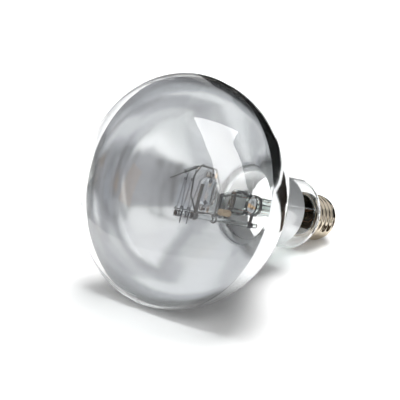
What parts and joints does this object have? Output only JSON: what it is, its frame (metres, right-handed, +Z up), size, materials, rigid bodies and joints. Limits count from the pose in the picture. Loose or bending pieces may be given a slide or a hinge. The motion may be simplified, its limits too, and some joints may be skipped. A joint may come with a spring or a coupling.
{
  "type": "mercury vapour reptile bulb",
  "caption": "Self-ballasted mercury vapour reflector bulb for reptiles: mirrored funnel of blown glass, clear domed face over an arc tube and filament on a wire frame, and a metal screw cap",
  "frame": {"origin": "centre of the bulb's box over the surface it lies on, at the height of that surface", "axes": "+Z is up. The lamp lies on its bowl and on the end of its thread: its axis is in the XZ plane, with the screw cap towards +X and down, and the domed face towards -X and tipped up. The lamp is alike on both sides of the XZ plane apart from its wires. Its longest side is along X."},
  "size_m": [0.1682, 0.126, 0.1211],
  "materials": {
    "envelope_glass": "clear blown glass",
    "mirror_film": "vapour-deposited aluminium mirror",
    "stem_glass": "clear pressed glass",
    "rod_glass": "clear solid glass",
    "quartz": "clear quartz",
    "frame_wire": "plain nickel-plated wire",
    "nickel_wire": "nickel wire",
    "hook_wire": "dark molybdenum wire",
    "tungsten": "grey tungsten",
    "foil": "bright molybdenum foil",
    "resistor_ceramic": "beige ceramic body",
    "copper_wire": "thin copper wire",
    "cap_metal": "bright nickel-plated sheet",
    "contact_metal": "plain brass plate",
    "solder": "soft solder, dull bright",
    "cap_glass": "black opaque glass",
    "cement": "hard baked resin cement"
  },
  "bodies": {
    "root": {"arc_lead_bottom": "nickel_wire", "arc_lead_top": "nickel_wire", "arc_tube": "quartz", "ballast_filament": "tungsten", "bridge_wire": "frame_wire", "cap_insulator": "cap_glass", "capping_cement": "cement", "centre_contact": "contact_metal", "electrode_bottom": "tungsten", "electrode_top": "tungsten", "exhaust_tube": "stem_glass", "filament_post": "frame_wire", "foil_bottom": "foil", "foil_starter": "foil", "foil_top": "foil", "frame_loop": "frame_wire", "front_terminal": "frame_wire", "glass_envelope": "envelope_glass", "hook_bead": "rod_glass", "inner_lead_far": "nickel_wire", "inner_lead_near": "nickel_wire", "outer_lead_centre": "copper_wire", "outer_lead_side": "copper_wire", "reflector_coating": "mirror_film", "resistor_wire": "nickel_wire", "return_wire": "frame_wire", "rod_hook_front": "hook_wire", "rod_hook_rear": "hook_wire", "screw_shell": "cap_metal", "solder_centre": "solder", "solder_side": "solder", "starter_electrode": "tungsten", "starter_lead": "nickel_wire", "starting_resistor": "resistor_ceramic", "stem_band": "frame_wire", "stem_glass": "stem_glass", "support_rod": "rod_glass", "upper_hook_front": "hook_wire", "upper_hook_rear": "hook_wire"}
  },
  "joints": []
}
